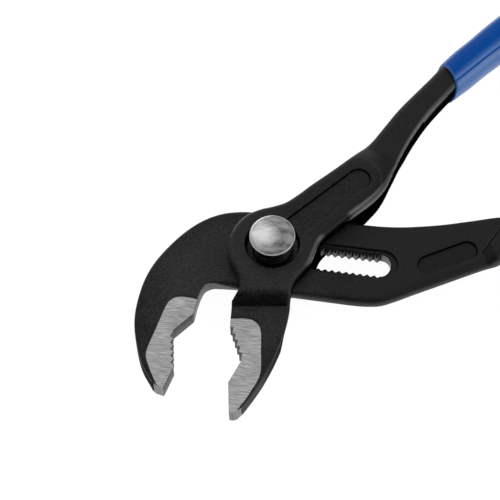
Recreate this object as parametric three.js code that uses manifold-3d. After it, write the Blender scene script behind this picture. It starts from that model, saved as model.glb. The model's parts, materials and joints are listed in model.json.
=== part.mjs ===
// Push-button water pump pliers, lying on their back. Millimetres, +Z up.
// While modelling, the pin's axis is x = y = 0, the slot runs along +X and z = 0 is the middle of the
// slotted lever's plate. The finished group is moved so that its origin is the centre of its underside.
import * as THREE from 'three';
import { mergeVertices } from 'three/addons/utils/BufferGeometryUtils.js';
import Module from 'manifold-3d';

const wasm = await Module();
wasm.setup();

// Clearances
const faceGap = 0.3;        // between the sliding faces of the two levers
const fitGap = 0.3;         // round the pin, the sleeve and the tangs
const stackGap = 0.15;      // between pieces stacked on the pin's axis

// Thicknesses of the two forgings
const plateThickness = 4.5;
const jawThickness = 6.5;
const shankThickness = 6.4;
const cheekThickness = 4.55;
const cheekEdge = 1.3;      // rounding of the cheeks' outer edges
const plateEdge = 0.7;      // rounding of the other edges

// Slotted lever: plate and slot
const plateHalfWidth = 11.8;
const slotLeft = -7.4;      // centre of the slot's rounded left end
const slotRight = 31.1;     // centre of its right end
const slotRecessHalf = 4.65;
const slotRecessDepth = 0.75;
const slotTipHalf = 2.7;    // from the slot's middle line to the tips of its teeth
const toothPitch = 2;
const toothDepth = 1.15;
const toothLength = 2.4;    // of the pin's teeth, along its axis
const toothPhase = 0.5;     // from the pin's axis to the nearest gap between slot teeth
const markRecessHalf = 2.8; // bare oval recess beside the slot
const markRecessDepth = 0.4;
const hookSwellStart = 18;  // where the plate begins to thicken into the hook jaw
const hookSwellRun = 9;
const shankRampStart = 50;  // where it begins to thicken into the shank
const shankRampRun = 3.5;
const jawToothCount = 5;
const jawToothDepth = 0.9;

// Box lever
const bossRadius = 12.4;
const jawStepStart = 15;    // where the cheeks begin to slope down to the jaw
const jawStepRun = 3.1;
const panelEnd = 38;        // where the cheeks begin to slope down to the shank
const panelRun = 9;
const nameRecessHalf = 3.4; // bare oval recess along the front cheek
const nameRecessLength = 32.3;
const nameRecessDepth = 0.4;

// Pin, button and spring
const journalRadius = 5;
const toothedHalfLength = 3;
const sleeveSide = 0.45;    // room beside the button's sleeve in the slot's recess
const buttonRadius = 6.5;
const buttonHeight = 4.7;   // of the button's rim above the cheek
const buttonHead = 2.4;
const buttonDome = 0.5;
const buttonEdge = 0.35;
const buttonUndercut = 0.6; // of the head's side below its rim
const neckCap = 1.6;        // steel above the neck in the button's head
const frontBoreSide = 1.25; // room beside the button's head
const frontBoreDepth = 3.2;
const seatSide = 0.55;      // room beside the spring's seat in the bore
const seatThickness = 0.4;
const springSide = 0.9;     // room between the spring and the sleeve
const springWire = 0.8;
const springTurns = 2.25;
const ringLip = 1.2;        // of the snap ring beyond the pin
const ringThickness = 0.5;
const ringGrooveDepth = 0.7;
const pinTail = 0.3;        // of the pin behind its ring
const pressOver = 0.2;      // travel past the point where the teeth come free

// Handles and grips
const tangHalfWidth = 3.7;
const tangHalfThickness = 2.9;
const gripHalfWidth = 5.6;
const gripHalfThickness = 4.9;
const gripMouthWall = 1.4;
const gripEndCover = 5;     // grip beyond the tang's end
const hookGripLength = 128; // from the mouth to the end
const boxGripLength = 128;

// Levels worked out from the sizes above
const plateHalf = plateThickness / 2;
const jawHalf = jawThickness / 2;
const shankHalf = shankThickness / 2;
const cheekInner = plateHalf + faceGap;
const cheekOuter = cheekInner + cheekThickness;
const slotToothTop = plateHalf - slotRecessDepth;
const pinToothTop = toothLength - plateHalf;
const pressTravel = toothLength + pressOver;
const rearFloor = pressTravel + pinTail + ringThickness + stackGap - cheekOuter;
const frontFloor = cheekOuter - frontBoreDepth;
const buttonRim = cheekOuter + buttonHeight;
const buttonUnder = buttonRim - buttonHead;

// Radii worked out from the sizes above
const neckRadius = slotTipHalf - fitGap;
const sleeveRadius = slotRecessHalf - sleeveSide;
const frontBoreRadius = buttonRadius + frontBoreSide;
const seatRadius = frontBoreRadius - seatSide;
const springRadius = sleeveRadius + springSide + springWire / 2;
const ringRadius = journalRadius + ringLip;

const steel = { color: 0x2a2a2c, roughness: 0.5, metalness: 0.6 };
const brightSteel = { color: 0xb4b6b8, roughness: 0.3, metalness: 0.95 };
const springSteel = { color: 0x6e6c68, roughness: 0.4, metalness: 0.9 };
const blueVinyl = { color: 0x1450a5, roughness: 0.42, metalness: 0 };

const vector = (x, y) => new THREE.Vector2(x, y);

// Turns a three.js geometry into a solid that can be joined and cut.
function solidOf(geometry) {
  const bare = geometry.clone();
  bare.deleteAttribute('normal');
  bare.deleteAttribute('uv');
  const merged = mergeVertices(bare, 1e-4);
  return new wasm.Manifold(new wasm.Mesh({
    numProp: 3,
    vertProperties: new Float32Array(merged.attributes.position.array),
    triVerts: new Uint32Array(merged.index.array),
  }));
}

function geometryOf(solid) {
  const mesh = solid.getMesh();
  const geometry = new THREE.BufferGeometry();
  geometry.setAttribute('position', new THREE.BufferAttribute(new Float32Array(mesh.vertProperties), 3));
  geometry.setIndex(new THREE.BufferAttribute(new Uint32Array(mesh.triVerts), 1));
  geometry.computeVertexNormals();
  return geometry;
}

// Extrudes an outline from zLow to zHigh, with its edges rounded by edge.
function prism(shape, zLow, zHigh, edge = 0, curveSegments = 5) {
  const geometry = new THREE.ExtrudeGeometry(shape, {
    depth: zHigh - zLow - 2 * edge,
    bevelEnabled: edge > 0,
    bevelThickness: edge,
    bevelSize: edge,
    bevelOffset: -edge,
    bevelSegments: 2,
    curveSegments,
  });
  geometry.translate(0, 0, zLow + edge);
  return solidOf(geometry);
}

function disc(radius, zLow, zHigh, sides = 40) {
  const geometry = new THREE.CylinderGeometry(radius, radius, zHigh - zLow, sides);
  geometry.rotateX(Math.PI / 2);
  geometry.translate(0, 0, (zLow + zHigh) / 2);
  return solidOf(geometry);
}

function polygon(points) {
  return new THREE.Shape(points.map(([x, y]) => vector(x, y)));
}

// An oval with round ends between two centres.
function oval(startX, startY, endX, endY, radius) {
  const angle = Math.atan2(endY - startY, endX - startX);
  const shape = new THREE.Shape();
  shape.absarc(endX, endY, radius, angle - Math.PI / 2, angle + Math.PI / 2);
  shape.absarc(startX, startY, radius, angle + Math.PI / 2, angle + 1.5 * Math.PI);
  return shape;
}

// Removes what lies above a face that runs level at zStart, slopes between two distances along a
// direction in plan, and runs level again at zEnd, and does the same on the back.
function cutToProfile(solid, angle, startAt, zStart, endAt, zEnd) {
  const reach = 300;
  const top = 60;
  const profile = [
    [-reach, zStart], [startAt, zStart], [endAt, zEnd], [reach, zEnd], [reach, top], [-reach, top],
  ];
  const geometry = new THREE.ExtrudeGeometry(polygon(profile), { depth: 2 * reach, bevelEnabled: false });
  geometry.translate(0, 0, -reach);
  geometry.rotateX(Math.PI / 2);
  geometry.rotateZ(angle);
  const front = solidOf(geometry);
  return solid.subtract(front).subtract(front.mirror([0, 0, 1]));
}

// Joins rings of points into one closed skin, with a fan over each end.
function loft(rings) {
  const sides = rings[0].length;
  const points = rings.flat();
  const lastRing = (rings.length - 1) * sides;
  const index = [];
  for (let ring = 0; ring < rings.length - 1; ring += 1) {
    for (let side = 0; side < sides; side += 1) {
      const next = (side + 1) % sides;
      const a = ring * sides + side;
      const b = ring * sides + next;
      index.push(a, a + sides, b, b, a + sides, b + sides);
    }
  }
  for (let side = 1; side < sides - 1; side += 1) {
    index.push(0, side, side + 1);
    index.push(lastRing, lastRing + side + 1, lastRing + side);
  }
  const geometry = new THREE.BufferGeometry().setFromPoints(points);
  geometry.setIndex(index);
  return geometry;
}

// The middle line of a handle: from its neck to the grip's mouth, then in an easy arc to the grip's end.
function handleLine(neckX, neckY, mouthX, mouthY, startAngle, endAngle, length) {
  const steps = 4;
  const points = [new THREE.Vector3(neckX, neckY, 0), new THREE.Vector3(mouthX, mouthY, 0)];
  for (let step = 0; step < steps; step += 1) {
    const angle = THREE.MathUtils.degToRad(startAngle + (endAngle - startAngle) * (step + 0.5) / steps);
    const stride = new THREE.Vector3(Math.cos(angle), Math.sin(angle), 0).multiplyScalar(length / steps);
    points.push(points.at(-1).clone().add(stride));
  }
  return new THREE.CatmullRomCurve3(points);
}
const hookHandleLine = handleLine(60, 12, 72, 18, 23.5, 27.5, hookGripLength);
const boxHandleLine = handleLine(38.4, 57.7, 43, 65.1, 51.5, 41.5, boxGripLength);

// A rounded-square ring square to a handle's line.
function handleRing(line, distance, halfWidth, halfThickness) {
  const sides = 16;
  const share = distance / line.getLength();
  const centre = line.getPointAt(share);
  const tangent = line.getTangentAt(share);
  const across = new THREE.Vector3(tangent.y, -tangent.x, 0);
  const rounded = (value) => Math.sign(value) * Math.abs(value) ** 0.6;
  return Array.from({ length: sides }, (_, side) => {
    const angle = 2 * Math.PI * side / sides;
    const point = centre.clone().addScaledVector(across, halfWidth * rounded(Math.cos(angle)));
    point.z += halfThickness * rounded(Math.sin(angle));
    return point;
  });
}

// The steel bar inside a grip, or the room for it when it is grown by a margin.
function tang(line, startAt, endAt, margin) {
  const stations = 14;
  const rings = Array.from({ length: stations + 1 }, (_, station) => {
    const distance = startAt + (endAt - startAt) * station / stations;
    return handleRing(line, distance, tangHalfWidth + margin, tangHalfThickness + margin);
  });
  return solidOf(loft(rings));
}

// A dipped grip: a thin lip at the mouth, a slight swell behind it, and a round end.
function makeGrip(line, length) {
  const endAt = line.getLength();
  const mouthAt = endAt - length;
  const lipWidth = tangHalfWidth + fitGap + gripMouthWall;
  const lipThickness = tangHalfThickness + fitGap + gripMouthWall;
  const swellRun = 9;
  const endRun = gripHalfWidth;
  const bodyRings = 14;
  const rings = [handleRing(line, mouthAt, lipWidth, lipThickness)];
  for (let ring = 1; ring <= bodyRings; ring += 1) {
    const along = (length - endRun) * ring / bodyRings;
    const swell = Math.min(1, along / swellRun);
    const ease = swell * swell * (3 - 2 * swell);
    const width = lipWidth + (gripHalfWidth - lipWidth) * ease;
    const thickness = lipThickness + (gripHalfThickness - lipThickness) * ease;
    rings.push(handleRing(line, mouthAt + along, width, thickness));
  }
  for (const turn of [0.4, 0.75, 0.95]) {
    const shrink = Math.sqrt(1 - turn * turn);
    const distance = endAt - endRun + endRun * turn;
    rings.push(handleRing(line, distance, gripHalfWidth * shrink, gripHalfThickness * shrink));
  }
  const room = tang(line, mouthAt - 1, endAt - gripEndCover + fitGap, fitGap);
  return solidOf(loft(rings)).subtract(room);
}

// A row of teeth along X as [x, y] points: tips at tipY, gaps at rootY.
function toothRow(fromX, toX, tipY, rootY) {
  const half = toothPitch / 2;
  const first = Math.ceil((fromX - toothPhase) / half);
  const last = Math.floor((toX - toothPhase) / half);
  const points = [];
  for (let step = first; step <= last; step += 1) {
    const isGap = step % 2 === 0;
    points.push([toothPhase + step * half, isGap ? rootY : tipY]);
  }
  return points;
}

// The through slot with its two rows of teeth, in plan.
function slotOutline() {
  const root = slotTipHalf + toothDepth;
  const upper = toothRow(slotLeft, slotRight, slotTipHalf, root);
  const lower = toothRow(slotLeft, slotRight, -slotTipHalf, -root);
  const shape = new THREE.Shape();
  shape.absarc(slotLeft, 0, slotTipHalf, Math.PI / 2, 1.5 * Math.PI);
  lower.forEach(([x, y]) => shape.lineTo(x, y));
  shape.absarc(slotRight, 0, slotTipHalf, -Math.PI / 2, Math.PI / 2);
  upper.reverse().forEach(([x, y]) => shape.lineTo(x, y));
  return shape;
}

// Saw teeth cut into a jaw's face between two points in plan, as one comb of notches.
function jawTeeth(startX, startY, endX, endY, count, depth) {
  const start = vector(startX, startY);
  const run = vector(endX, endY).sub(start);
  const inward = vector(-run.y, run.x).normalize();
  const at = (share, deep) => start.clone().addScaledVector(run, share).addScaledVector(inward, deep);
  const clear = -2 * depth;
  const points = [at(0, clear)];
  for (let tooth = 0; tooth < count; tooth += 1) {
    points.push(at(tooth / count, 0));
    points.push(at((tooth + 0.35) / count, depth));
  }
  points.push(at(1, 0), at(1, clear));
  return prism(new THREE.Shape(points), -jawThickness, jawThickness);
}

// Slotted lever: hook jaw, plate with its slot, and shank running into the grip.
function makeHookJawLever() {
  const hook = new THREE.Shape();
  hook.moveTo(-6, plateHalfWidth);
  hook.splineThru([vector(-14, 10.8), vector(-22, 6.5), vector(-29.3, -2.2), vector(-33.6, -10.8)]);
  hook.splineThru([vector(-35.3, -19), vector(-35.2, -27), vector(-33.2, -34), vector(-29.6, -41.4)]);
  hook.lineTo(-26.6, -45.4);
  hook.lineTo(-23.6, -46.6);
  hook.lineTo(-22.3, -40.2);
  hook.lineTo(-24.3, -28.8);
  hook.lineTo(-19, -22.5);
  hook.lineTo(-18.2, -15.2);
  hook.quadraticCurveTo(-17.8, -plateHalfWidth, -14.6, -plateHalfWidth);
  hook.lineTo(-6, -plateHalfWidth);
  const swellAngle = THREE.MathUtils.degToRad(233);
  const jaw = cutToProfile(
    prism(hook, -jawHalf, jawHalf), swellAngle, hookSwellStart, plateHalf,
    hookSwellStart + hookSwellRun, jawHalf);

  const plate = new THREE.Shape();
  plate.moveTo(-7, -plateHalfWidth);
  plate.lineTo(25, -plateHalfWidth);
  plate.splineThru([vector(32.3, -11), vector(40.3, -6.6), vector(50.9, -0.6)]);
  plate.splineThru([vector(59.2, 4.2), vector(64.5, 7.2), vector(71, 13.6)]);
  plate.lineTo(67.6, 20.6);
  plate.splineThru([vector(62, 19.9), vector(54.5, 17.4), vector(46, 15), vector(36, 12.9)]);
  plate.lineTo(25, plateHalfWidth);
  plate.lineTo(-7, plateHalfWidth);
  const rampAngle = THREE.MathUtils.degToRad(-25);
  const body = cutToProfile(
    prism(plate, -shankHalf, shankHalf, plateEdge), rampAngle, shankRampStart, plateHalf,
    shankRampStart + shankRampRun, shankHalf);

  const slot = prism(slotOutline(), -jawThickness, slotToothTop);
  const recess = prism(oval(slotLeft, 0, slotRight, 0, slotRecessHalf), slotToothTop, jawThickness);
  const mark = prism(oval(44.2, 1.9, 54.4, 8.1, markRecessHalf), plateHalf - markRecessDepth, jawThickness);
  const bar = tang(hookHandleLine, 2, hookHandleLine.getLength() - gripEndCover, 0);
  return jaw.add(body).add(bar)
    .subtract(slot).subtract(recess).subtract(mark)
    .subtract(jawTeeth(-22.4, -39.4, -24.2, -29.4, jawToothCount, jawToothDepth));
}

// The room between the cheeks for the plate, over the whole travel of the slide and the hinge.
function windowOutline() {
  return polygon([
    [-30, -5.1 - plateHalfWidth], [50, -0.2 - plateHalfWidth], [50, 28.6 + plateHalfWidth],
    [8, 3.9 + plateHalfWidth], [1, 1.4 + plateHalfWidth], [0, 10 + plateHalfWidth],
    [-30, 10 + plateHalfWidth],
  ]);
}

// Box lever: jaw, two cheeks round the plate, and shank running into the grip.
function makeBoxJawLever() {
  const jaw = new THREE.Shape();
  jaw.moveTo(-4.4, -51.4);
  jaw.lineTo(-2.8, -51.2);
  jaw.splineThru([vector(1.2, -44.3), vector(4.7, -34.6), vector(6.9, -24.5), vector(7.1, -14)]);
  jaw.lineTo(-7.8, -16);
  jaw.lineTo(-9, -18.4);
  jaw.lineTo(-8, -25.4);
  jaw.lineTo(-3.4, -35.3);
  jaw.lineTo(-5.7, -42.6);

  const neck = new THREE.Shape();
  neck.moveTo(6.9, -23);
  neck.lineTo(7.1, -12.4);
  neck.quadraticCurveTo(7.3, -9.8, 9, -7.6);
  neck.lineTo(9, 0);
  neck.lineTo(-9.6, 0);
  neck.lineTo(-9.6, -7.6);
  neck.quadraticCurveTo(-7.6, -10, -7.4, -12.6);
  neck.lineTo(-7.3, -15.2);
  neck.lineTo(-9, -18.4);
  neck.lineTo(-8.4, -22.8);

  const handle = new THREE.Shape();
  handle.moveTo(10.6, -4);
  handle.quadraticCurveTo(11.8, 1.8, 14.3, 4.8);
  handle.lineTo(20, 11.6);
  handle.splineThru([vector(25.4, 17.8), vector(28.7, 22.8), vector(30.6, 28.6), vector(32.6, 36)]);
  handle.splineThru([vector(35.2, 43.4), vector(38.6, 50.6), vector(41.8, 56)]);
  handle.lineTo(43.6, 58.8);
  handle.lineTo(37.4, 63);
  handle.lineTo(35.5, 60.2);
  handle.splineThru([vector(30, 51.9), vector(26.2, 44.8), vector(23.6, 39.8), vector(19.2, 33)]);
  handle.lineTo(7.8, 20.8);
  handle.splineThru([vector(4.4, 17), vector(1.2, 14), vector(-1.6, 12.4)]);
  handle.lineTo(-4.6, 11.2);
  handle.lineTo(-4, 0);

  const stepAngle = THREE.MathUtils.degToRad(-81.7);
  const shankAngle = THREE.MathUtils.degToRad(54);
  const step = cutToProfile(
    prism(neck, -cheekOuter, cheekOuter, cheekEdge), stepAngle, jawStepStart, cheekOuter,
    jawStepStart + jawStepRun, jawHalf);
  const upper = cutToProfile(
    prism(handle, -cheekOuter, cheekOuter, cheekEdge), shankAngle, panelEnd, cheekOuter,
    panelEnd + panelRun, shankHalf);
  const boss = new THREE.Shape();
  boss.absarc(0, -0.3, bossRadius, 0, 2 * Math.PI);

  const window = prism(windowOutline(), -cheekInner, cheekInner);
  const frontBore = disc(frontBoreRadius, frontFloor, 2 * cheekOuter, 48);
  const sleeveBore = disc(sleeveRadius + fitGap, 0, cheekOuter);
  const journalBore = disc(journalRadius + fitGap, -cheekOuter, 0);
  const rearBore = disc(ringRadius + fitGap, -2 * cheekOuter, rearFloor);
  const nameAngle = THREE.MathUtils.degToRad(48.6);
  const nameEnd = vector(Math.cos(nameAngle), Math.sin(nameAngle)).multiplyScalar(nameRecessLength);
  const nameFloor = cheekOuter - nameRecessDepth;
  const name = prism(oval(0, 0, nameEnd.x, nameEnd.y, nameRecessHalf), nameFloor, 2 * cheekOuter);
  const bar = tang(boxHandleLine, 1, boxHandleLine.getLength() - gripEndCover, 0);
  return prism(jaw, -jawHalf, jawHalf).add(step).add(upper)
    .add(prism(boss, -cheekOuter, cheekOuter, cheekEdge, 20)).add(bar)
    .subtract(window).subtract(frontBore).subtract(sleeveBore).subtract(journalBore).subtract(rearBore)
    .subtract(name)
    .subtract(jawTeeth(-8, -25.6, -3.6, -35, jawToothCount, jawToothDepth));
}

// The pin: rear journal with a ring groove, two toothed flats that lock in the slot, and a neck.
function makePivotPin() {
  const flatGap = fitGap;
  const tip = slotTipHalf + toothDepth - flatGap;
  const root = slotTipHalf - flatGap;
  const upper = toothRow(-toothedHalfLength, toothedHalfLength, root, tip);
  const lower = upper.map(([x, y]) => [x, -y]).reverse();
  const flats = polygon([
    [toothedHalfLength, -root], [toothedHalfLength, root], ...[...upper].reverse(),
    [-toothedHalfLength, root], [-toothedHalfLength, -root], ...[...lower].reverse(),
  ]);
  const tail = rearFloor - stackGap - ringThickness - pinTail;
  const shoulder = -plateHalf - stackGap;
  const toothed = prism(flats, shoulder - stackGap, pinToothTop - stackGap)
    .intersect(disc(journalRadius, -cheekOuter, cheekOuter));
  const grooveTop = rearFloor;
  const grooveLow = rearFloor - 2 * stackGap - ringThickness;
  const groove = disc(journalRadius + 1, grooveLow, grooveTop)
    .subtract(disc(journalRadius - ringGrooveDepth, grooveLow - 1, grooveTop + 1));
  return disc(journalRadius, tail, shoulder).subtract(groove)
    .add(toothed)
    .add(disc(neckRadius, shoulder - 1, buttonRim - neckCap - fitGap, 24));
}

// The button: a slightly domed head over a sleeve that takes the pin's neck.
function makePushButton() {
  const sleeveLow = slotToothTop + pressTravel + stackGap;
  const boreTop = buttonRim - neckCap;
  const boreRadius = neckRadius + fitGap;
  const profile = [
    vector(0, buttonRim + buttonDome),
    vector(buttonRadius * 0.4, buttonRim + buttonDome * 0.85),
    vector(buttonRadius * 0.75, buttonRim + buttonDome * 0.45),
    vector(buttonRadius - buttonEdge, buttonRim),
    vector(buttonRadius, buttonRim - buttonEdge),
    vector(buttonRadius - buttonUndercut, buttonUnder),
    vector(sleeveRadius, buttonUnder),
    vector(sleeveRadius, sleeveLow),
    vector(boreRadius, sleeveLow),
    vector(boreRadius, boreTop),
    vector(0, boreTop),
  ];
  const geometry = new THREE.LatheGeometry(profile.reverse(), 40);
  geometry.rotateX(Math.PI / 2);
  return solidOf(geometry);
}

// The washer that the spring stands on.
function makeSpringSeat() {
  const low = frontFloor + stackGap;
  return disc(seatRadius, low, low + seatThickness).subtract(disc(sleeveRadius + fitGap, 0, cheekOuter));
}

// The coil spring between its seat and the button's head, as one unbroken tube.
function makeReturnSpring() {
  const stepsPerTurn = 8;
  const sides = 5;
  const low = frontFloor + stackGap + seatThickness + stackGap + springWire / 2;
  const high = buttonUnder - stackGap - springWire / 2;
  const steps = Math.round(springTurns * stepsPerTurn);
  const pointAt = (step) => {
    const angle = 2 * Math.PI * step / stepsPerTurn;
    const height = low + (high - low) * step / steps;
    return new THREE.Vector3(springRadius * Math.cos(angle), springRadius * Math.sin(angle), height);
  };
  const rings = [];
  for (let step = 0; step <= steps; step += 1) {
    const centre = pointAt(step);
    const outward = new THREE.Vector3(centre.x, centre.y, 0).normalize();
    rings.push(Array.from({ length: sides }, (_, side) => {
      const angle = 2 * Math.PI * side / sides;
      const point = centre.clone().addScaledVector(outward, springWire / 2 * Math.cos(angle));
      point.z += springWire / 2 * Math.sin(angle);
      return point;
    }));
  }
  let least = Infinity;
  for (let a = 0; a <= steps; a += 1) {
    for (let b = a + stepsPerTurn / 2; b <= steps; b += 1) {
      least = Math.min(least, pointAt(a).distanceTo(pointAt(b)) - springWire);
    }
  }
  console.log(`return_spring: least gap to itself ${least.toFixed(2)} mm`);
  return solidOf(loft(rings));
}

// The open snap ring in the pin's groove.
function makeRetainingRing() {
  const opening = 0.5;
  const inner = journalRadius - ringGrooveDepth + fitGap;
  const shape = new THREE.Shape();
  shape.absarc(0, 0, ringRadius, opening, 2 * Math.PI - opening);
  shape.absarc(0, 0, inner, 2 * Math.PI - opening, opening, true);
  const high = rearFloor - stackGap;
  return prism(shape, high - ringThickness, high, 0, 14);
}

const pliers = new THREE.Group();
const pieces = [
  ['hook_jaw_lever', makeHookJawLever(), steel],
  ['hook_lever_grip', makeGrip(hookHandleLine, hookGripLength), blueVinyl],
  ['box_jaw_lever', makeBoxJawLever(), steel],
  ['box_lever_grip', makeGrip(boxHandleLine, boxGripLength), blueVinyl],
  ['pivot_pin', makePivotPin(), brightSteel],
  ['push_button', makePushButton(), brightSteel],
  ['spring_seat', makeSpringSeat(), springSteel],
  ['return_spring', makeReturnSpring(), springSteel],
  ['retaining_ring', makeRetainingRing(), springSteel],
];
for (const [name, solid, finish] of pieces) {
  const mesh = new THREE.Mesh(geometryOf(solid), new THREE.MeshStandardMaterial(finish));
  mesh.name = name;
  pliers.add(mesh);
}
const box = new THREE.Box3().setFromObject(pliers);
const centre = box.getCenter(new THREE.Vector3());
pliers.position.set(-centre.x, -centre.y, -box.min.z);
pliers.updateMatrixWorld(true);

export default pliers;
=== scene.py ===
import json
import math

import bpy
import numpy as np
from mathutils import Matrix
from mathutils.geometry import delaunay_2d_cdt


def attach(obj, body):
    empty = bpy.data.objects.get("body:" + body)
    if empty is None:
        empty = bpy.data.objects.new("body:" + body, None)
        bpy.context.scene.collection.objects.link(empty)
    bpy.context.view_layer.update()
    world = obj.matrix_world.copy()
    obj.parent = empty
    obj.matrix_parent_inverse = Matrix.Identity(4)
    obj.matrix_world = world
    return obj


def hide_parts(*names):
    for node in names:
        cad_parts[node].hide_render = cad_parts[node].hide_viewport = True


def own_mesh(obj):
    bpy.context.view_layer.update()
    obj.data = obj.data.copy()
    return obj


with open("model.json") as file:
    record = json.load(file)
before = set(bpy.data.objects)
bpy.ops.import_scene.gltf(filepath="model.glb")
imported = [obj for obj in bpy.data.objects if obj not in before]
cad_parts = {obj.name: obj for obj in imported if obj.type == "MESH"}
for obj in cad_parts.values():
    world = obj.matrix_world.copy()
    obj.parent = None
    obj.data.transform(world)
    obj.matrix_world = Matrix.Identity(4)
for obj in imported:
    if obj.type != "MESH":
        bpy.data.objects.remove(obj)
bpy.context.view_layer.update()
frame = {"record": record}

scene = bpy.context.scene
scene.view_settings.view_transform = "Standard"
jointList = {joint["name"]: joint for joint in frame["record"]["behaviour"]["joints"]}
pivot = np.array(jointList["jaw_pivot"]["pos_m"])   # the pin's axis, half way through the plate
mm = 0.001                                          # shapes are drawn in millimetres about the pivot


class Wire:
    def __init__(self, tree, socket):
        self.tree = tree
        self.socket = socket

    def node(self, kind, settings=None, sockets=None, out=0):
        made = self.tree.nodes.new(kind)
        for name, value in (settings or {}).items():
            setattr(made, name, value)
        for key, value in (sockets or {}).items():
            if isinstance(value, Wire):
                self.tree.links.new(value.socket, made.inputs[key])
            else:
                made.inputs[key].default_value = value
        return Wire(self.tree, made.outputs[out])

    def sum(self, operation, first, second):
        return self.node("ShaderNodeMath", {"operation": operation}, {0: first, 1: second})

    def __add__(self, other):
        return self.sum("ADD", self, other)

    def __sub__(self, other):
        return self.sum("SUBTRACT", self, other)

    def __mul__(self, other):
        return self.sum("MULTIPLY", self, other)


def newMaterial(name, finish, **fixed):
    made = bpy.data.materials.new(name)
    made.use_nodes = True
    tree = made.node_tree
    tree.nodes.clear()
    shader = tree.nodes.new("ShaderNodeBsdfPrincipled")
    output = tree.nodes.new("ShaderNodeOutputMaterial")
    tree.links.new(shader.outputs[0], output.inputs[0])
    for key, value in fixed.items():
        shader.inputs[key.replace("_", " ")].default_value = value
    place = Wire(tree, tree.nodes.new("ShaderNodeTexCoord").outputs["Object"])
    for key, wire in finish(place).items():
        tree.links.new(wire.socket, shader.inputs[key])
    return made


def noise(place, scale, detail=3, rough=0.5):
    return place.node("ShaderNodeTexNoise", {}, {
        "Vector": place, "Scale": scale, "Detail": detail, "Roughness": rough})


def spread(wire, low, high, toLow, toHigh):
    return wire.node("ShaderNodeMapRange", {}, {0: wire, 1: low, 2: high, 3: toLow, 4: toHigh})


def blendColour(factor, first, second):
    return factor.node("ShaderNodeMix", {"data_type": "RGBA"}, {0: factor, 6: first, 7: second}, 2)


def bump(height, strength, distance):
    return height.node("ShaderNodeBump", {}, {"Height": height, "Strength": strength, "Distance": distance})


def painted(place, name):
    # a value kept on the points of the mesh
    return place.node("ShaderNodeAttribute", {"attribute_name": name}, {}, 2)


def turned(place, angle, scale):
    return place.node("ShaderNodeMapping", {}, {
        "Vector": place, "Rotation": (0, 0, math.radians(angle)), "Scale": scale})


blackSteel = {
    "dark": 0.0015, "light": 0.053, "grain": 1900, "cloud": 110, "rough": (0.39, 0.51),
    "coarseEnds": (-0.005, 0.035), "crown": (-0.008, -0.014, 0),
    "bendReach": (0.018, 0.028), "bendTone": (0.52, 0.19),
}


def blackFinish(share, paintedLightOn=False):
    # the jaw end is sandblasted more coarsely, and a painted pool of light makes the forging palest round a
    # spot inside the hook's bend
    def finish(place):
        b = blackSteel
        grain = noise(place, b["grain"], 2, 0.65)
        cloud = noise(place, b["cloud"], 3, 0.55)
        along = place.node("ShaderNodeSeparateXYZ", {}, {0: place}, 0)
        coarse = spread(along, *(pivot[0] + end for end in b["coarseEnds"]), 1, 0.3)
        bend = tuple(pivot + np.array(b["crown"]))
        fromLitSpot = place.node("ShaderNodeVectorMath", {"operation": "DISTANCE"}, {0: place, 1: bend}, 1)
        tone = spread(grain * 0.82 + cloud * 0.18, 0.4, 0.6, -0.27, 0.27) * coarse
        tone = tone + spread(fromLitSpot, *b["bendReach"], *b["bendTone"])
        dark, light = ((b[k] * share,) * 3 + (1,) for k in ("dark", "light"))
        look = {
            "Roughness": spread(cloud * 0.6 + grain * 0.4, 0.35, 0.65, *b["rough"]),
            "Normal": bump(grain, 0.26, 0.00007),
        }
        if paintedLightOn:
            # painted light kept on the mesh: over 0 a painted highlight, glossier too, under 0 painted shade
            rubbed = painted(place, "shine")
            look["Coat Weight"] = spread(rubbed, 0, 1, 0, 0.9)
            tone = tone + spread(rubbed, -2, 0, -0.6, 0) + spread(rubbed, 0, 1, 0, 0.6)
        look["Base Color"] = blendColour(tone, dark, light)
        return look
    return finish


groundSteel = {"low": (0.27, 0.27, 0.268, 1), "high": (0.78, 0.78, 0.776, 1), "angle": -9}


def groundFinish(place):
    wander = noise(place, 140, 2)
    shifted = place.node("ShaderNodeVectorMath", {"operation": "ADD"}, {0: place, 1: place.node(
        "ShaderNodeCombineXYZ", {}, {1: (wander - 0.5) * 0.0007})})
    lines = noise(turned(shifted, groundSteel["angle"], (190, 3500, 300)), 1, 4, 0.66)
    fine = noise(turned(shifted, groundSteel["angle"], (330, 5200, 600)), 1, 2, 0.5)
    patch = noise(place, 170, 2)
    tone = spread(lines * 0.58 + fine * 0.32 + patch * 0.1, 0.38, 0.62, 0, 1)
    return {
        "Base Color": blendColour(tone, groundSteel["low"], groundSteel["high"]),
        "Roughness": spread(lines, 0.3, 0.7, 0.36, 0.5),
        "Normal": bump(lines * 0.6 + fine * 0.4, 0.2, 0.00008),
    }


# the same cut steel in three tones: darker on the teeth as painted shade, paler on the jaw ends as painted
# light
cutTones = {"flank": (0.085, 0.16), "tooth": (0.03, 0.095), "end": (0.18, 0.34)}


def cutFinish(tone):
    # a face cut across the plate, with marks running through its thickness
    def finish(place):
        lines = noise(turned(place, 0, (1700, 1700, 120)), 1, 3, 0.6)
        low, high = ((shade, shade, shade * 0.995, 1) for shade in cutTones[tone])
        return {
            "Base Color": blendColour(spread(lines, 0.35, 0.65, 0, 1), low, high),
            "Roughness": spread(lines, 0.3, 0.7, 0.38, 0.5),
            "Normal": bump(lines, 0.2, 0.00006),
        }
    return finish


# the flank colour is a painted reflection, laid on where the mesh's painted light is high
blueVinyl = {"deep": (0.0, 0.094, 0.48, 1), "pale": (0.0, 0.104, 0.51, 1), "flank": (0.012, 0.2, 0.68, 1)}


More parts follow.
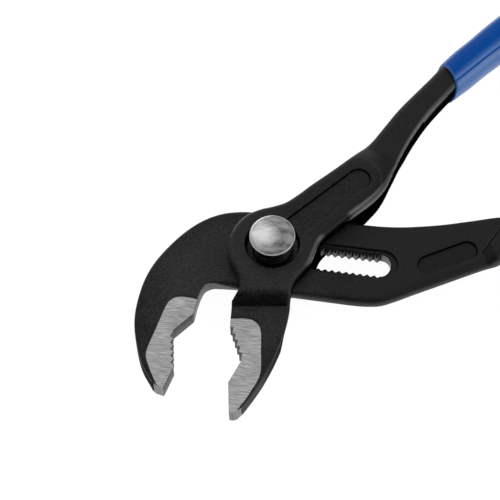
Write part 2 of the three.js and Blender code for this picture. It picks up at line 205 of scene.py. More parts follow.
def vinylFinish(place):
    cloud = noise(place, 45, 2)
    peel = noise(place, 90, 2)
    # painted reflection and highlight: the painted light makes the vinyl paler and glossier
    shine = painted(place, "shine")
    body = blendColour(spread(cloud, 0.35, 0.65, 0, 1), blueVinyl["deep"], blueVinyl["pale"])
    return {
        "Base Color": blendColour(shine, body, blueVinyl["flank"]),
        "Roughness": spread(cloud, 0.3, 0.7, 0.3, 0.36),
        "Coat Weight": shine,
        "Normal": bump(peel, 0.02, 0.0002),
    }


capSteel = {"low": (0.13, 0.13, 0.13, 1), "high": (1.0, 1.0, 0.995, 1), "edge": (0.72, 0.72, 0.72, 1),
            "wall": (0.03, 0.03, 0.03, 1), "rings": 2600, "spot": (-0.0028, -0.0004, 0), "rim": 0.0118}


def capFinish(place):
    centred = place.node("ShaderNodeVectorMath", {"operation": "SUBTRACT"}, {0: place, 1: tuple(pivot)})
    flat = centred.node("ShaderNodeVectorMath", {"operation": "MULTIPLY"}, {0: centred, 1: (1, 1, 0)})
    height = centred.node("ShaderNodeSeparateXYZ", {}, {0: centred}, 2)
    radius = flat.node("ShaderNodeVectorMath", {"operation": "LENGTH"}, {0: flat}, 1)
    across = radius.node("ShaderNodeCombineXYZ", {}, {0: radius})
    rings = noise(across, capSteel["rings"], 3, 0.65)
    swirl = noise(across, 750, 1)
    # painted highlight: the top is painted pale round the spot, over its turning marks, swirls and smears
    fromSpot = flat.node("ShaderNodeVectorMath", {"operation": "DISTANCE"}, {0: flat, 1: capSteel["spot"]}, 1)
    glare = spread(fromSpot, 0.0004, 0.0048, 1, 0)
    smear = noise(turned(centred, 25, (230, 520, 230)), 1, 4, 0.62)
    tone = spread(smear * 0.36 + rings * 0.14 + swirl * 0.16 + glare * 0.34, 0.27, 0.57, 0, 1)
    # painted highlight: a pale ring at the rim's edge
    paintedLightOn = spread(radius, 0.00612, 0.00622, 0, 1)
    top = blendColour(paintedLightOn, blendColour(tone, capSteel["low"], capSteel["high"]), capSteel["edge"])
    # painted shade: the side below the rim is painted dark
    onTop = spread(height, capSteel["rim"] - 0.0003, capSteel["rim"] - 0.0001, 0, 1)
    return {
        "Base Color": blendColour(onTop, capSteel["wall"], top),
        "Roughness": spread(smear, 0.3, 0.7, 0.24, 0.36),
        "Normal": bump(rings * spread(radius, 0.0002, 0.0012, 0, 1), 0.1, 0.00005),
    }


# dark steel, painted darker still as the shade it sits in under the button
wireSteel = {"low": (0.014, 0.014, 0.014, 1), "high": (0.05, 0.05, 0.049, 1)}


def wireFinish(place):
    cloud = noise(place, 900, 3)
    return {
        "Base Color": blendColour(spread(cloud, 0.3, 0.7, 0, 1), wireSteel["low"], wireSteel["high"]),
        "Roughness": spread(cloud, 0.3, 0.7, 0.3, 0.42),
        "Normal": bump(cloud, 0.1, 0.00004),
    }


# the darker copies of the black are painted shade: the darkest on walls, creases and hollows in shade, a duller
# one on the mark's floor and one side of the slot's teeth, and one on the jaws' outer walls, which take painted
# light from the mesh
highlightCoat = {"Coat_Roughness": 0.38, "Coat_IOR": 2.4}
black = newMaterial("satin_black_steel", blackFinish(1, True), Specular_IOR_Level=0.25, **highlightCoat)
dullShadeBlack = newMaterial("dull_black_steel", blackFinish(0.9), Specular_IOR_Level=0.2)
shadeBlack = newMaterial("soot_black_steel", blackFinish(0.2), Specular_IOR_Level=0.0)
edgeShadeBlack = newMaterial("edge_black_steel", blackFinish(0.6, True), Specular_IOR_Level=0.0, **highlightCoat)
ground = newMaterial("ground_steel", groundFinish, Metallic=1.0)
flank = newMaterial("milled_flank_steel", cutFinish("flank"), Metallic=0.9)
shadedToothSteel = newMaterial("dark_tooth_steel", cutFinish("tooth"), Metallic=0.9)
endSteel = newMaterial("cut_end_steel", cutFinish("end"), Metallic=0.9)
vinyl = newMaterial("blue_dipped_vinyl", vinylFinish, Specular_IOR_Level=0.08, Coat_IOR=2.1, Coat_Roughness=0.4)
capMetal = newMaterial("turned_cap_steel", capFinish, Metallic=1.0)
wireMetal = newMaterial("oiled_spring_steel", wireFinish, Metallic=1.0)
print("finishes made")


def throughPoints(points, spacing):
    # a smooth line through the points, without its last one
    known = np.array(points, float)
    if len(known) == 2:
        steps = max(1, math.ceil(np.linalg.norm(known[1] - known[0]) / spacing))
        share = np.arange(steps)[:, None] / steps
        return known[0] + (known[1] - known[0]) * share
    padded = np.vstack([2 * known[0] - known[1], known, 2 * known[-1] - known[-2]])
    drawn = []
    for a, b, c, d in zip(padded, padded[1:], padded[2:], padded[3:]):
        ta, tb, tc = (max(1e-6, np.linalg.norm(q - p)) ** 0.5 for p, q in ((a, b), (b, c), (c, d)))
        steps = max(1, math.ceil(np.linalg.norm(c - b) / spacing))
        headB = ((b - a) / ta - (c - a) / (ta + tb) + (c - b) / tb) * tb
        headC = ((c - b) / tb - (d - b) / (tb + tc) + (d - c) / tc) * tb
        t = np.arange(steps)[:, None] / steps
        drawn.append((2 * t ** 3 - 3 * t ** 2 + 1) * b + (t ** 3 - 2 * t ** 2 + t) * headB
                     + (3 * t ** 2 - 2 * t ** 3) * c + (t ** 3 - t ** 2) * headC)
    return np.vstack(drawn)


def outlineOf(runs, spacing=0.4):
    # each run is smooth, and runs meet at corners
    return np.vstack([throughPoints(run, spacing) for run in runs])


def circle(radius, count):
    # clockwise, as a hole's edge runs
    angle = -np.arange(count) * 2 * math.pi / count
    return np.column_stack([radius * np.cos(angle), radius * np.sin(angle)])


def sawTeeth(start, end, count, depth, lean):
    # a toothed face from start to end, with its gaps cut to the left of the way
    start, end = np.array(start), np.array(end)
    run = end - start
    left = np.array([-run[1], run[0]]) / np.linalg.norm(run)
    points = []
    for tooth in range(count):
        points.append(start + run * tooth / count)
        points.append(start + run * (tooth + lean) / count + left * depth)
    return [tuple(p) for p in points] + [tuple(end)]


def edgeLook(points, loops, values):
    # distance to the nearest loop, and that loop's value there
    best = np.full(len(points), 1e9)
    found = np.zeros(len(points))
    for loop, value in zip(loops, values):
        run = np.roll(loop, -1, axis=0) - loop
        ahead = np.roll(value, -1)
        square = np.maximum((run ** 2).sum(1), 1e-12)
        for start in range(0, len(points), 1200):
            part = points[start:start + 1200]
            away = part[:, None, :] - loop
            t = np.clip((away * run).sum(2) / square, 0, 1)
            gap = np.hypot(away[..., 0] - t * run[:, 0], away[..., 1] - t * run[:, 1])
            pick = gap.argmin(1)
            rows = np.arange(len(pick))
            near = gap[rows, pick]
            share = t[rows, pick]
            better = near < best[start:start + 1200]
            best[start:start + 1200] = np.where(better, near, best[start:start + 1200])
            held = value[pick] * (1 - share) + ahead[pick] * share
            found[start:start + 1200] = np.where(better, held, found[start:start + 1200])
    return best, found


def isInside(points, loop):
    x, y = points[:, 0], points[:, 1]
    inside = np.zeros(len(points), bool)
    for (ax, ay), (bx, by) in zip(loop, np.roll(loop, -1, axis=0)):
        if ay != by:
            inside ^= ((ay > y) != (by > y)) & (x < (bx - ax) * (y - ay) / (by - ay) + ax)
    return inside


def signedGap(points, loop):
    # distance to a closed line, positive inside it
    gap, _ = edgeLook(points, [loop], [np.zeros(len(loop))])
    return np.where(isInside(points, loop), gap, -gap)


def ovalGap(points, start, end, radius):
    # distance to an oval with round ends, positive inside it
    start, end = np.array(start), np.array(end)
    run = end - start
    t = np.clip(((points - start) @ run) / (run @ run), 0, 1)
    return radius - np.linalg.norm(points - start - t[:, None] * run, axis=1)


def ovalLine(start, end, radius, spacing):
    start, end = np.array(start), np.array(end)
    heading = math.atan2(*(end - start)[::-1])
    count = max(8, math.ceil(math.pi * radius / spacing))
    half = np.linspace(-math.pi / 2, math.pi / 2, count)
    far = end + radius * np.column_stack([np.cos(heading + half), np.sin(heading + half)])
    near = start - radius * np.column_stack([np.cos(heading + half), np.sin(heading + half)])
    sides = max(2, math.ceil(np.linalg.norm(end - start) / spacing))
    share = np.arange(1, sides)[:, None] / sides
    return np.vstack([far, far[-1] + (near[0] - far[-1]) * share, near, near[-1] + (far[0] - near[-1]) * share])


def rise(t, start, end, soft, softEnd=None):
    # 0 before start, 1 after end, with rounded corners
    softEnd = soft if softEnd is None else softEnd
    first = (t - start + np.sqrt((t - start) ** 2 + soft ** 2)) / 2
    second = (t - end + np.sqrt((t - end) ** 2 + softEnd ** 2)) / 2
    return np.clip((first - second) / (end - start), 0, 1)


def besideLine(line, offsets):
    # rows of points beside an open line
    step = np.gradient(line, axis=0)
    left = np.column_stack([-step[:, 1], step[:, 0]]) / np.maximum(np.linalg.norm(step, axis=1), 1e-9)[:, None]
    return np.vstack([line + left * offset for offset in offsets])


class Shell:
    def __init__(self):
        self.points = []
        self.shine = []
        self.faces = []
        self.picks = []

    def add(self, plan, height):
        first = len(self.points)
        height = np.broadcast_to(height, len(plan))
        self.points.extend(np.column_stack([plan, height]).tolist())
        self.shine.extend([0.0] * len(plan))
        return np.arange(first, first + len(plan))

    def face(self, corners, pick=0):
        self.faces.append([int(c) for c in corners])
        self.picks.append(int(pick))

    def strip(self, upper, lower, picks=None, keep=None):
        # a wall between two rings of the same count
        count = len(upper)
        for i in range(count):
            if keep is None or keep[i]:
                j = (i + 1) % count
                self.face((lower[i], lower[j], upper[j], upper[i]), 0 if picks is None else picks[i])

    def cover(self, plan, index, loops, keepTest, upward, pickTest=None, ties=()):
        # triangles over a plan, bounded by closed rows of its points
        edges = [(int(a), int(b)) for a, b in ties]
        for row in loops:
            edges += [(int(a), int(b)) for a, b in zip(row, np.roll(row, -1))]
        places, _, triangles, origins, _, _ = delaunay_2d_cdt([tuple(p) for p in plan], edges, [], 0, 1e-6)
        back = [origin[0] if origin else -1 for origin in origins]
        triangles = np.array([[back[k] for k in t] for t in triangles if all(back[k] >= 0 for k in t)])
        middle = plan[triangles].mean(axis=1)
        kept = keepTest(middle)
        picks = pickTest(middle) if pickTest else np.zeros(len(middle), int)
        for corners, pick in zip(triangles[kept], picks[kept]):
            a, b, c = index[corners]
            self.face((a, b, c) if upward else (a, c, b), pick)


def thinned(points, least):
    taken = {}
    kept = []
    for number, (x, y) in enumerate(points):
        cell = (math.floor(x / least), math.floor(y / least))
        near = (taken.get((cell[0] + i, cell[1] + j)) for i in (-1, 0, 1) for j in (-1, 0, 1))
        if all(k is None or math.hypot(points[k][0] - x, points[k][1] - y) >= least for k in near):
            taken[cell] = number
            kept.append(number)
    return points[kept]


def facePoints(loops, radii, extras, spacing):
    # the loops' points, rows round their rounded edges, feature rows and a filling grid
    rows = []
    for loop, radius in zip(loops, radii):
        step = np.roll(loop, -1, axis=0) - np.roll(loop, 1, axis=0)
        left = np.column_stack([-step[:, 1], step[:, 0]]) / np.linalg.norm(step, axis=1)[:, None]
        for share in (0.076, 0.293, 0.617, 1.0, 1.5):
            rows.append(loop + left * (radius * share)[:, None])
    outer = loops[0]
    low, high = outer.min(0), outer.max(0)
    xs = np.arange(low[0], high[0], spacing)
    ys = np.arange(low[1], high[1], spacing * 0.866)
    grid = np.array([(x + (spacing / 2 if k % 2 else 0), y) for k, y in enumerate(ys) for x in xs])
    loose = np.vstack(rows + list(extras) + [grid])
    inside = isInside(loose, outer)
    for hole in loops[1:]:
        inside &= ~isInside(loose, hole)
    loose = loose[inside]
    counts = [sum(len(r) for r in rows), sum(len(e) for e in extras), len(grid)]
    gap, radius = edgeLook(loose, loops, radii)
    least = np.repeat([0.02, 0.05, 0.05], counts)[inside]
    share = np.repeat([0.06, 0.7, 1.7], counts)[inside]
    loose = thinned(loose[gap > np.maximum(least, share * radius)], 0.045)
    return np.vstack(list(loops) + [loose])


def forgedFace(shell, loops, radii, height, extras, spacing, front, pickTest=None, paintedLightTest=None):
    plan = facePoints(loops, radii, extras, spacing)
    gap, radius = edgeLook(plan, loops, radii)
    count = sum(len(loop) for loop in loops)
    gap[:count] = 0
    radius[:count] = np.concatenate(radii)
    inset = np.clip(radius - gap, 0, None)
    level = height(plan) - (radius - np.sqrt(np.maximum(radius ** 2 - inset ** 2, 0)))
    index = shell.add(plan, level if front else -level)
    if paintedLightTest:
        shell.shine[index[0]:] = paintedLightTest(plan, gap / radius).tolist()
    rows = []
    first = 0
    for loop in loops:
        rows.append(np.arange(first, first + len(loop)))
        first += len(loop)

    def onMaterial(points):
        good = isInside(points, loops[0])
        for hole in loops[1:]:
            good &= ~isInside(points, hole)
        return good
    shell.cover(plan, index, rows, onMaterial, front, pickTest)
    return [index[row] for row in rows]


def eased(values, loop, reach):
    # evens out a value along a closed line
    step = np.linalg.norm(np.roll(loop, -1, axis=0) - loop, axis=1).mean()
    width = max(1, int(reach / step))
    return np.mean([np.roll(values, k) for k in range(-width, width + 1)], axis=0)


def addPiece(name, points, faces, picks, materials, body, nodes, sharpAngle, shine=None):
    mesh = bpy.data.meshes.new(name)
    mesh.from_pydata((np.asarray(points) * mm + pivot).tolist(), [], faces)
    for material in materials:
        mesh.materials.append(material)
    mesh.polygons.foreach_set("material_index", picks)
    if shine is not None:
        # painted light and shade, kept on the points for the finishes to read
        mesh.attributes.new("shine", "FLOAT", "POINT").data.foreach_set("value", shine)
    mesh.shade_smooth()
    mesh.set_sharp_from_angle(angle=math.radians(sharpAngle))
    piece = bpy.data.objects.new(name, mesh)
    scene.collection.objects.link(piece)
    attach(piece, body)
    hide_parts(*nodes)
    print(name, "faces", len(faces))


# the drop at the edge of a ground face or a recess (start, end, rounding), and the rows of points across it
groundEdge = {
    "slope": (-0.34, 0.03, 0.03), "rows": (-0.4, -0.06, 0, 0.06, 0.2, 0.32, 0.38, 0.6), "spacing": 0.3,
}
recessEdge = {"slope": (-0.04, 0.22, 0.05), "rows": (-0.25, -0.06, 0.08, 0.24, 0.4), "wall": (-0.06, 0.24)}


def groundDrop(p, face):
    return rise(signedGap(p, face), *groundEdge["slope"])


def groundRows(line):
    return besideLine(throughPoints(line, groundEdge["spacing"]), groundEdge["rows"])


def recessDrop(p, oval):
    return rise(ovalGap(p, *oval), *recessEdge["slope"])


def onRecessWall(p, oval):
    low, high = recessEdge["wall"]
    inward = ovalGap(p, *oval)
    return (inward > low) & (inward < high)


def recessRows(oval, spacing):
    start, end, half = oval
    return np.vstack([ovalLine(start, end, half - k, spacing) for k in recessEdge["rows"]])


def choose(places, pick, rest):
    # the number of the first finish whose place holds, or else the rest
    return np.select(list(places.values()), [pick[name] for name in places], rest)


hookLever = {
    "plate": 2.25, "jaw": 3.25, "shank": 3.2, "groundDepth": 0.28,
    "edge": 0.8, "plateEdge": 1.6, "neckEdge": 2.1, "shankEdge": 2.0, "jawEdge": 0.1,
    "slotLeft": -7.4, "slotRight": 31.1, "recessHalf": 4.65, "recessRound": 0.25, "slotRound": 0.12,
    "ledge": 1.5, "tipTop": 0.5, "tipHalf": 2.7, "endHalf": 3.4,
    "toothDepth": 1.15, "backStep": 0.3, "pitch": 2.0, "phase": 0.5,
    "oval": ((44.2, 1.9), (54.6, 8.0), 3.0), "ovalDepth": 0.75,
    "vee": (58.8, 8), "veeTop": (64.6, 19.6), "veeFoot": (62, 3.5),
    "veeAcross": (-0.1, 0.02, 0.12, 0.3, 0.5, 0.7, 0.82, 0.95),
}
# the bare ground face of the hook jaw, and the black band outside it
hookGroundLine = [
    (-17.6, -18.7), (-18.5, -18.55), (-20.8, -18.3), (-23.5, -18.35), (-25.2, -19.0), (-26.4, -20.2),
    (-27.1, -21.9), (-27.9, -25.5), (-28.8, -29.9), (-29.6, -33.4), (-30.05, -36.2), (-30.0, -37.8),
    (-29.3, -39.6), (-28.1, -41.9), (-26.5, -44.6), (-25.0, -46.8)]
hookGround = np.vstack([throughPoints(hookGroundLine, 0.3), [(-25, -50), (-10, -50), (-10, -18.7)]])
hookOuterBand = np.array([(-60, 40), (-60, -60), (-26.3, -60), (-26.6, -45.4), (-30.5, -37), (-28, -25),
    (-26, -19), (-16.5, -18.4), (-16, 40)])


def slotTeeth(depth):
    # the slot's outline with its two rows of teeth, clockwise
    s = hookLever
    half = s["pitch"] / 2
    root = s["tipHalf"] + depth
    first = math.ceil((s["slotLeft"] - s["phase"]) / half)
    last = math.floor((s["slotRight"] - s["phase"]) / half)
    row = []
    for k in range(first, last + 1):
        x = s["phase"] + k * half
        if k % 2 == 0:
            row += [(x - 0.16, root - 0.09), (x, root), (x + 0.16, root - 0.09)]
        else:
            row += [(x - 0.14, s["tipHalf"] + 0.1), (x, s["tipHalf"] + 0.04), (x + 0.14, s["tipHalf"] + 0.1)]
    turn = np.linspace(math.pi / 2, -math.pi / 2, 15)
    right = [(s["slotRight"] + s["tipHalf"] * math.cos(a), s["endHalf"] * math.sin(a)) for a in turn]
    left = [(s["slotLeft"] - s["tipHalf"] * math.cos(a), -s["tipHalf"] * math.sin(a)) for a in turn]
    return np.array(row + right + [(x, -y) for x, y in reversed(row)] + left)


def buildHookLever():
    s = hookLever
    shell = Shell()
    teeth = sawTeeth((-21.95, -39.6), (-23.8, -29.5), 5, 0.85, 0.4)
    runs = [
        [(25, 12.4), (-5, 12.2)],
        [(-5, 12.2), (-11.2, 11.65), (-16.8, 10.05), (-22, 6.8), (-27, 1.5), (-31.4, -5.7), (-34.2, -12.9),
         (-35.3, -20), (-35.2, -27), (-33.5, -34), (-30.8, -40.4), (-27.1, -45.5)],
        [(-27.1, -45.5), (-25.4, -46.4), (-23.6, -46.8)],
        [(-23.6, -46.8), (-21.9, -40.2)],
        *[[a, b] for a, b in zip([(-21.9, -40.2)] + teeth, teeth)],
        [teeth[-1], (-23.9, -29.0)],
        [(-23.9, -29.0), (-19.1, -23.0)],
        [(-19.1, -23.0), (-18.75, -18.4), (-18.3, -15.7), (-17.35, -13.4), (-15.4, -12.35), (-13, -12.25)],
        [(-13, -12.25), (24, -12.45)],
        [(24, -12.45), (28, -12.25), (32.3, -11.5), (36.4, -9.5), (40.3, -7.2), (46, -3.95), (53, 0.05),
         (59.2, 3.5), (62.2, 5.1), (64.8, 7.0), (68, 10.0), (71, 12.7), (75, 15.0)],
        [(75, 15.0), (78, 16.5)],
        [(78, 16.5), (75, 23.7)],
        [(75, 23.7), (71.5, 22.4), (67, 21.3), (62, 20.3), (54.5, 17.9), (46, 15.4), (36, 13.3),
         (30, 12.6), (25, 12.4)],
    ]
    outline = outlineOf(runs)
    x, y = outline.T
    bare = (x < -16) & (y < -18.4) & (signedGap(outline, hookOuterBand) < 0)
    lower = np.interp(x, [-17.5, -8, 5], [0.2, s["neckEdge"], s["plateEdge"]])
    radius = np.where((y < 0.3 * x - 2) & (x > -19), lower, s["edge"])
    radius = radius + (s["shankEdge"] - s["plateEdge"]) * np.clip((x - 52) / 16, 0, 1)
    radius = np.where(bare, s["jawEdge"], radius)
    radius = np.minimum(radius, eased(radius, outline, 1.0))
    recess = ovalLine((s["slotLeft"], 0), (s["slotRight"], 0), s["recessHalf"], 0.4)[::-1]
    slot = slotTeeth(s["toothDepth"])
    slotBack = slotTeeth(s["toothDepth"] - s["backStep"])
    finishes = {
        "black": black, "ground": ground, "flank": flank, "tooth": shadedToothSteel, "end": endSteel,
        "dull": dullShadeBlack, "soot": shadeBlack, "edge": edgeShadeBlack,
    }
    pick = {name: number for number, name in enumerate(finishes)}

    def veeGaps(p):
        # how far inside the upper and lower sides of the thicker shank's pointed front
        px, py = (p - s["vee"]).T
        return 0.894 * px - 0.447 * py, 0.816 * px + 0.578 * py

    def frontPaintedLight(p, share):
        # painted shade in the corner behind the point, with a faint painted highlight line down the hook's
        # outer edge
        upper, lower = veeGaps(p)
        corner = np.clip(upper / 0.2, 0, 1) * np.interp(lower, [-0.05, 0.12, 1.6, 3.6], [0, -1.7, -1.3, 0])
        line = 0.3 * np.clip(1 - np.abs(share - 0.3) / 0.3, 0, 1) * np.interp(p[:, 1], [-38, -30], [1, 0])
        return corner + np.where(p[:, 0] < -25, line, 0)

    def backPaintedLight(p, share):
        # painted light on the back rim of the hook's outer edge, palest towards the tip
        onRim = (share < 0.05) & (p[:, 0] < -24)
        return np.where(onRim, np.interp(p[:, 1], [-36, -22, -16], [0.22, 0.08, 0]), 0)

    def bodyHeight(p):
        px, py = p.T
        swell = rise(-0.602 * px - 0.799 * py, 18, 27, 2.5)
        upper, lower = veeGaps(p)
        thick = rise(upper, 0, 0.8, 0.12) * rise(lower, 0, 3.2, 0.5)
        return s["plate"] + (s["jaw"] - s["plate"]) * swell + (s["shank"] - s["plate"]) * thick

    def backHeight(p):
        return bodyHeight(p) - s["groundDepth"] * groundDrop(p, hookGround)

    def frontHeight(p):
        return backHeight(p) - s["ovalDepth"] * recessDrop(p, s["oval"])

    def pickBack(p):
        return np.where(signedGap(p, hookGround) > 0, pick["ground"], pick["black"])

    def pickFront(p):
        upper, lower = veeGaps(p)
        # painted shade in the crease along the point's upper side and on the mark's walls, and the mark's floor
        # duller and darker as painted shade
        crease = (np.abs(upper - 0.3) < 0.2) & (lower > 0.1)
        places = {"soot": onRecessWall(p, s["oval"]) | crease, "dull": ovalGap(p, *s["oval"]) > 0}
        return choose(places, pick, pickBack(p))

    border = groundRows(hookGroundLine)
    veeSides = ([s["veeTop"], s["vee"]], [s["vee"], s["veeFoot"]])
    veeRows = np.vstack([besideLine(throughPoints(side, 0.3), s["veeAcross"]) for side in veeSides])
    frontExtras = [border, recessRows(s["oval"], 0.4), veeRows]
    frontEdges = [radius, np.full(len(recess), s["recessRound"])]
    front = forgedFace(shell, [outline, recess], frontEdges, frontHeight, frontExtras, 0.85, True,
                       pickFront, frontPaintedLight)
    backEdges = [radius, np.full(len(slot), s["slotRound"])]
    back = forgedFace(shell, [outline, slotBack], backEdges, backHeight, [border, veeRows], 0.95, False,
                      pickBack, backPaintedLight)

    # the wall round the outline
    middle = (outline + np.roll(outline, -1, axis=0)) / 2
    mx, my = middle.T
    jawWall = (mx < -16) & (my < -18.5) & (signedGap(middle, hookOuterBand) < 0)
    neckWall = (my < -11.5) & (mx > -19.2) & (mx < -6) & (my > -18.5)
    # the outer walls take the darker black with painted light, the teeth the darker cut steel as painted shade,
    # and the jaw end the paler cut steel as painted light
    walls = {
        "end": jawWall & (my < -44.8) & (mx < -23.7),
        "tooth": jawWall & (my < -22.95),
        "flank": jawWall | neckWall,
        "edge": (mx < -24) & (my < -16),
    }
    shell.strip(front[0], back[0], choose(walls, pick, pick["black"]))

    # the slot's recess, and its teeth, whose tops slope down inwards
    recessLow = shell.add(recess, s["ledge"])
    toothed = (slot[:, 0] > s["slotLeft"]) & (slot[:, 0] < s["slotRight"])
    inward = np.clip((s["tipHalf"] + s["toothDepth"] - np.abs(slot[:, 1])) / s["toothDepth"], 0, 1)
    slotHigh = shell.add(slot, np.where(toothed, s["ledge"] - (s["ledge"] - s["tipTop"]) * inward, s["ledge"]))
    # painted shade on the recess wall
    shell.strip(front[1], recessLow, np.full(len(recess), pick["soot"]))
    ahead = np.roll(inward, -1)
    crest = (inward > 0.85) & (ahead > 0.85)
    root = (inward < 0.15) & (ahead < 0.15)
    # painted shade at the tooth roots and on one side of each tooth
    sides = {"flank": ~toothed | crest, "soot": root, "dull": ahead < inward}
    shell.strip(slotHigh, back[1], choose(sides, pick, pick["tooth"]))
    plan = np.vstack([recess, slot])
    rows = [np.arange(len(recess)), len(recess) + np.arange(len(slot))]
    roots = [len(recess) + k for k in np.flatnonzero(toothed & (inward < 0.01))]
    ties = [(a, b) for a, b in zip(roots, roots[1:]) if plan[a][1] * plan[b][1] > 0]
    shell.cover(plan, np.concatenate([recessLow, slotHigh]), rows,
                lambda p: isInside(p, recess) & ~isInside(p, slot), True, ties=ties)
    addPiece("hook_jaw_lever_forging", shell.points, shell.faces, shell.picks, list(finishes.values()),
             "hook_lever", ["hook_jaw_lever"], 34, shell.shine)


buildHookLever()

boxLever = {
    "cheek": 7.1, "inner": 2.55, "jaw": 3.25, "shank": 3.2, "groundDepth": 0.28,
    "edge": 1.3, "shankEdge": 1.7, "jawEdge": 0.1, "outerEdge": 0.9, "boreRound": 0.3, "boreSides": 96,
    "bore": 7.75, "boreFloor": 3.9, "sleeve": 4.5, "rearBore": 6.5, "rearFloor": -3.55, "journal": 5.3,
    "trough": ((0, 0), (21.36, 24.23), 3.4), "troughDepth": 0.75,
    "panel": ((0, 0), (20.9, 24.5), 7.0), "panelAngle": 48.6, "panelRows": (-0.35, -0.15, 0, 0.15, 0.35),
    "stepWay": (0.144, -0.990), "stepRows": (-0.9, -0.4, 0, 0.5, 1.6, 2.6, 3.0, 3.1, 3.2, 3.35, 4.1),
    "lean": 1.3, "midLean": 0.7, "leastDrop": 0.15,
    # painted light along the handle's right edge, by height: a highlight where over 0, shade where under 0
    "rubbedAt": (-6, -3, 4, 7, 9.5, 11.5, 13, 24, 30, 45, 60),
    "rubbed": (0, 0.6, 0.5, -0.8, -0.8, -0.3, 0.55, 0.55, 1, 0.9, 0.4),
}
boxWindow = np.array([(-30, -17.7), (50, -12.8), (50, 41.3), (8, 16.6), (2.6, 14.5), (1.6, 22), (-30, 22)])
boxGroundLine = [
    (-9.2, -23.3), (-8.3, -23.2), (-5.6, -22.75), (-3.9, -22.6), (-2.4, -22.8), (-1.2, -23.4),
    (-0.1, -24.5), (0.6, -26.2), (1.5, -32), (2.3, -37.2), (2.25, -39.4), (1.8, -41.3), (0.8, -43.9),
    (-0.6, -47.3), (-2.3, -50.6), (-3.0, -52.2)]
boxGround = np.vstack([throughPoints(boxGroundLine, 0.3), [(-3, -56), (-20, -56), (-20, -23.3)]])


def withCrossings(outline, window):
    # adds the points where the window's edge crosses the outline
    points = []
    for a, b in zip(outline, np.roll(outline, -1, axis=0)):
        points.append(a)
        hits = []
        for c, d in zip(window, np.roll(window, -1, axis=0)):
            r, q = b - a, d - c
            area = r[0] * q[1] - r[1] * q[0]
            if abs(area) > 1e-12:
                t = ((c - a)[0] * q[1] - (c - a)[1] * q[0]) / area
                u = ((c - a)[0] * r[1] - (c - a)[1] * r[0]) / area
                if 0.02 < t < 0.98 and 0 <= u <= 1:
                    hits.append(t)
        points += [a + (b - a) * t for t in sorted(hits)]
    return np.array(points)


def windowChains(outline, ends, corners):
    # pairs up the places where the window's edge enters the lever, with its inner corners between them
    low = sorted((k for k in ends if outline[k][1] < 0), key=lambda k: outline[k][0])
    high = sorted((k for k in ends if outline[k][1] > 0), key=lambda k: -outline[k][0])
    order = np.argsort(-corners[:, 0])
    return [[("rim", low[0]), ("rim", low[1])],
            [("rim", high[0])] + [("corner", int(n)) for n in order] + [("rim", high[1])]]


def onHandSide(p):
    # the right side of the box lever, where the hand lies
    return p[:, 0] > 0.62 * p[:, 1] + 3.2


def onJawSide(p):
    # the side of the box lever's jaw that faces the hook
    return (p[:, 1] < -23.4) & (p[:, 0] < 0.55 * (p[:, 1] + 44) / 10 - 1.5)


